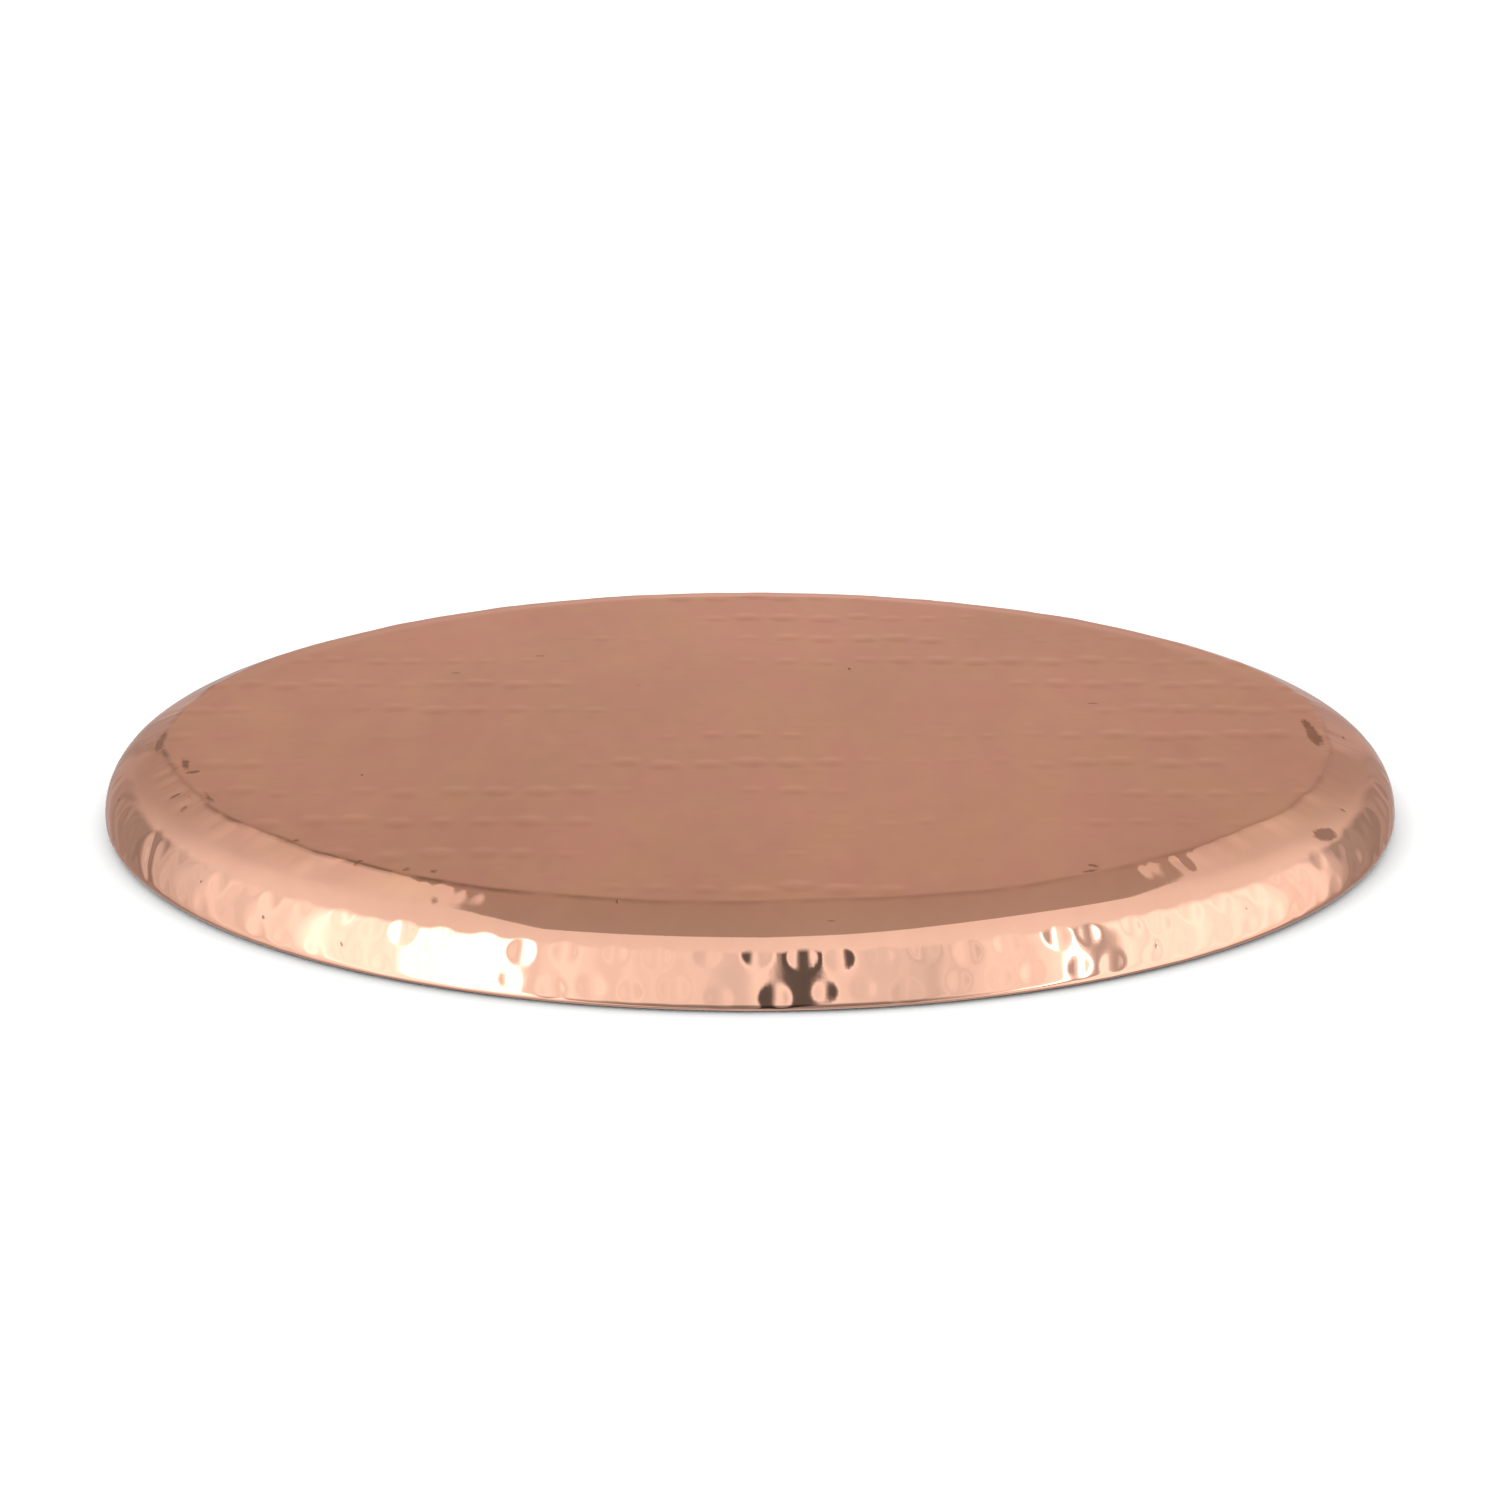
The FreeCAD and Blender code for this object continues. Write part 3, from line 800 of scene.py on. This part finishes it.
def matt_paper(studio):
    """Matt white background paper: even, with a tooth of about 1 mm that only just shows."""
    material, tree, surface = new_material("matt_paper")
    place = add(tree, "ShaderNodeTexCoord").outputs["Object"]
    tooth = add(tree, NOISE, {"Vector": place, "Scale": 1 / MM, "Detail": 3.0}).outputs[0]
    bump = add(tree, BUMP, {"Strength": 0.1, "Distance": 0.05 * MM, "Height": tooth}).outputs[0]
    paper = add(
        tree, "ShaderNodeBsdfPrincipled",
        {"Base Color": tuple(studio.paper), "Roughness": 0.9, "Normal": bump, "Specular IOR Level": 0.2},
    )
    tree.links.new(paper.outputs[0], surface)
    return material


# Operators ------------------------------------------------------------------------------------------------


class COPPER_TRAY_OT_pan(bpy.types.Operator):
    """Raise and planish the copper pan, with its crease, wall and rolled rim"""

    bl_idname = "copper_tray.pan"
    bl_label = "Hammered pan"

    def execute(self, context):
        settings = context.scene.copper_tray
        material = hammered_copper(settings.finish)
        tree, values = hammer_tree(settings.sheet, settings.marks, material)
        pan = bake_modifier(plain_pan(settings.sheet), tree, values, "tray_pan_hammered")
        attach(pan, ROOT_BODY)
        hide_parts(PAN_NODE)
        return {"FINISHED"}


class COPPER_TRAY_OT_wire(bpy.types.Operator):
    """Finish the steel wire inside the rolled rim"""

    bl_idname = "copper_tray.wire"
    bl_label = "Rim wire"

    def execute(self, context):
        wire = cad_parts[WIRE_NODE]
        material = drawn_steel(context.scene.copper_tray.finish)
        if not wire.material_slots:
            raise RuntimeError("the packed rim wire has no material slot")
        for slot in wire.material_slots:
            slot.material = material
        return {"FINISHED"}


# What stands round the tray, as it shows in the copper: degrees from the front, and brightness.
AROUND = (
    (-180, 0.7), (-160, 0.46), (-129, 0.38), (-126, 0.62), (-82, 1.3), (-77, 1.8),
    (-60.5, 1.6), (-59.5, 3), (-56, 3), (-55.5, 1.4), (-54.5, 3), (-39, 3), (-37.5, 1.15),
    (3.6, 1.02), (4.8, 0.13), (11, 0.13), (12.2, 1.0), (22, 0.92), (37, 0.92), (45, 1.2), (53, 1.3),
    (54, 6), (55.4, 6), (56, 1.2), (59, 0.6), (63, 0.6), (65, 1.45), (98, 1.45), (121, 0.75),
    (126, 0.36), (160, 0.46), (180, 0.7),
)
# The ceiling, by how far towards the back of the room: -1 in front, 0 overhead, 1 behind.
CEILING = (
    (-1, 1.04), (0, 0.98), (0.2, 0.96), (0.35, 0.95), (0.5, 0.9), (0.6, 0.81), (0.7, 0.7), (0.8, 0.58),
    (0.88, 0.46), (0.93, 0.44), (0.96, 0.53), (0.975, 0.66), (0.988, 0.62), (0.996, 0.4), (1, 0.34),
)
# How far the panels and bars lean outwards, so that overhead they stand further round to the sides.
PANEL_LEAN = 0.38
# The ceiling takes over from the panels between these heights, and it comes down lower at the back.
CEILING_START = (0.58, 0.7)
# The opening, on a level plane one metre up: where each edge starts, and where it is clear. They are the
# front, left, slanting and right edges. The last pair is the height of view below which it fades out.
OPENING_EDGES = ((0.03, 0.045), (-0.35, -0.33), (0.01, 0.03), (0.58, 0.56), (0.3, 0.42))
LEFT_SLOPE = 0.12
SLANTING_SLOPE = -0.85
OPENING_TONE = (0.46, 0.425, 0.4, 1)


def tone_ramp(tree, place, stops):
    """Brightness along a list of stops, whose places run from the first stop's to the last's."""
    low, high = stops[0][0], stops[-1][0]
    share = add(tree, MAP_RANGE, {0: place, 1: low, 2: high}).outputs[0]
    ramp = add(tree, "ShaderNodeValToRGB", {0: share})
    elements = ramp.color_ramp.elements
    for _ in stops[2:]:
        elements.new(0.5)
    for element, (at, tone) in zip(elements, stops):
        element.position = (at - low) / (high - low)
        element.color = (tone, tone, tone, 1)
    return ramp.outputs[0]


def studio_room(scene):
    """The room that the copper mirrors: panels and gaps round it, and a ceiling with one dark opening."""
    world = bpy.data.worlds.new("Studio room")
    scene.world = world
    world.use_nodes = True
    tree = world.node_tree
    tree.nodes.clear()
    ray = add(tree, "ShaderNodeTexCoord").outputs["Generated"]
    parts = add(tree, SEPARATE, {0: ray}).outputs
    front = add(tree, MATH, {0: parts["Y"], 1: -1.0}, operation="MULTIPLY").outputs[0]
    lean = add(tree, MATH, {0: parts["Z"], 1: parts["Z"]}, operation="MULTIPLY").outputs[0]
    front = add(tree, MATH, {0: lean, 1: PANEL_LEAN, 2: front}, operation="MULTIPLY_ADD").outputs[0]
    bearing = add(tree, MATH, {0: parts["X"], 1: front}, operation="ARCTAN2").outputs[0]
    bearing = add(tree, MATH, {0: bearing}, operation="DEGREES").outputs[0]
    around = tone_ramp(tree, bearing, AROUND)
    ceiling = tone_ramp(tree, parts["Y"], CEILING)
    rise = add(tree, MATH, {0: parts["Y"], 1: 0.5, 2: parts["Z"]}, operation="MULTIPLY_ADD").outputs[0]
    low, high = CEILING_START
    over = add(tree, MAP_RANGE, {0: rise, 1: low, 2: high}, interpolation_type="SMOOTHSTEP").outputs[0]
    room = add(tree, MIX, {0: over, 6: around, 7: ceiling}, data_type="RGBA").outputs[2]

    up = add(tree, MATH, {0: parts["Z"], 1: 0.001}, operation="MAXIMUM").outputs[0]
    right = add(tree, MATH, {0: parts["X"], 1: up}, operation="DIVIDE").outputs[0]
    behind = add(tree, MATH, {0: parts["Y"], 1: up}, operation="DIVIDE").outputs[0]
    slant = add(tree, MATH, {0: right, 1: SLANTING_SLOPE, 2: behind}, operation="MULTIPLY_ADD").outputs[0]
    left = add(tree, MATH, {0: behind, 1: LEFT_SLOPE, 2: right}, operation="MULTIPLY_ADD").outputs[0]
    opening = None
    places = (behind, left, slant, right, parts["Z"])
    for place, (closed, clear) in zip(places, OPENING_EDGES):
        edge = add(tree, MAP_RANGE, {0: place, 1: closed, 2: clear}).outputs[0]
        if opening:
            edge = add(tree, MATH, {0: opening, 1: edge}, operation="MULTIPLY").outputs[0]
        opening = edge
    room = add(tree, MIX, {0: opening, 6: room, 7: OPENING_TONE}, data_type="RGBA").outputs[2]

    # Stands, shelves and folds in the backdrops: upright soft bars, each some eight degrees wide.
    clutter = add(
        tree, NOISE, {"W": bearing, "Scale": 0.12, "Detail": 2.0, "Roughness": 0.5},
        noise_dimensions="1D",
    ).outputs[0]
    clutter = add(tree, MAP_RANGE, {0: clutter, 1: 0.35, 2: 0.65, 3: 0.86, 4: 1.14}).outputs[0]
    # Straight down, the gap under the tray is dark.
    down = add(tree, MAP_RANGE, {0: parts["Z"], 1: -0.97, 2: -0.86, 3: 0.3, 4: 1.0}).outputs[0]
    clutter = add(tree, MIX, {0: over, 2: clutter, 3: 1.0}).outputs[0]
    clutter = add(tree, MATH, {0: clutter, 1: down}, operation="MULTIPLY").outputs[0]
    room = add(tree, VECTOR_MATH, {0: room, "Scale": clutter}, operation="SCALE").outputs[0]
    room = add(tree, "ShaderNodeBackground", {"Color": room})
    add(tree, "ShaderNodeOutputWorld", {0: room.outputs[0]})


# The paper's edges are so far from the tray's middle, out of every view of it.
PAPER_REACH = 14.0
FILM_WIDTH = 36.0


def slab(name, corners, material):
    """A flat four-cornered piece of the studio."""
    mesh = bpy.data.meshes.new(name)
    mesh.from_pydata(corners, [], [(0, 1, 2, 3)])
    mesh.materials.append(material)
    thing = bpy.data.objects.new(name, mesh)
    bpy.context.scene.collection.objects.link(thing)
    return thing


class COPPER_TRAY_OT_studio(bpy.types.Operator):
    """Lay the paper, set the lights and stand the camera"""

    bl_idname = "copper_tray.studio"
    bl_label = "Studio"

    def execute(self, context):
        studio = context.scene.copper_tray.studio
        signs = ((-1, -1), (1, -1), (1, 1), (-1, 1))
        corners = [(x * PAPER_REACH, y * PAPER_REACH, 0) for x, y in signs]
        paper = slab("paper", corners, matt_paper(studio))
        # The copper mirrors the room below the level too, so that its bars and panels run down to its foot.
        paper.visible_glossy = False

        studio_room(context.scene)
        light = bpy.data.lights.new("overhead", "SUN")
        light.energy = studio.sky_strength
        light.angle = studio.sky_spread
        overhead = bpy.data.objects.new("overhead", light)
        overhead.visible_glossy = False
        context.scene.collection.objects.link(overhead)

        lens = bpy.data.cameras.new("camera")
        lens.sensor_width = FILM_WIDTH
        lens.lens = studio.focal_mm
        camera = bpy.data.objects.new("camera", lens)
        rise = studio.camera_height
        camera.location = Vector((0, -math.cos(rise), math.sin(rise))) * studio.camera_distance
        camera.rotation_euler = (math.pi / 2 - studio.aim_angle, 0, 0)
        context.scene.collection.objects.link(camera)
        context.scene.camera = camera
        context.scene.view_settings.view_transform = "Standard"
        # The copper throws no light of its own on the paper, which keeps the shade at its foot grey.
        context.scene.cycles.caustics_reflective = False
        return {"FINISHED"}


class COPPER_TRAY_PT_sidebar(bpy.types.Panel):
    """The tray's operators and settings"""

    bl_idname = "COPPER_TRAY_PT_sidebar"
    bl_label = "Hammered Copper Tray"
    bl_space_type = "VIEW_3D"
    bl_region_type = "UI"
    bl_category = "Tray"

    def draw(self, context):
        settings = context.scene.copper_tray
        for operator in OPERATORS:
            self.layout.operator(operator.bl_idname)
        for group in (settings.sheet, settings.marks, settings.finish, settings.studio):
            box = self.layout.box()
            for name in group.__annotations__:
                box.prop(group, name)


OPERATORS = (COPPER_TRAY_OT_pan, COPPER_TRAY_OT_wire, COPPER_TRAY_OT_studio)
SETTINGS = (TraySheet, TrayMarks, TrayFinish, TrayStudio, TraySettings)
CLASSES = (*SETTINGS, *OPERATORS, COPPER_TRAY_PT_sidebar)


def register():
    for cls in CLASSES:
        bpy.utils.register_class(cls)
    bpy.types.Scene.copper_tray = PointerProperty(type=TraySettings)


def unregister():
    del bpy.types.Scene.copper_tray
    for cls in reversed(CLASSES):
        bpy.utils.unregister_class(cls)


def main():
    register()
    bpy.ops.copper_tray.pan()
    bpy.ops.copper_tray.wire()
    bpy.ops.copper_tray.studio()


if __name__ == "__main__":
    main()
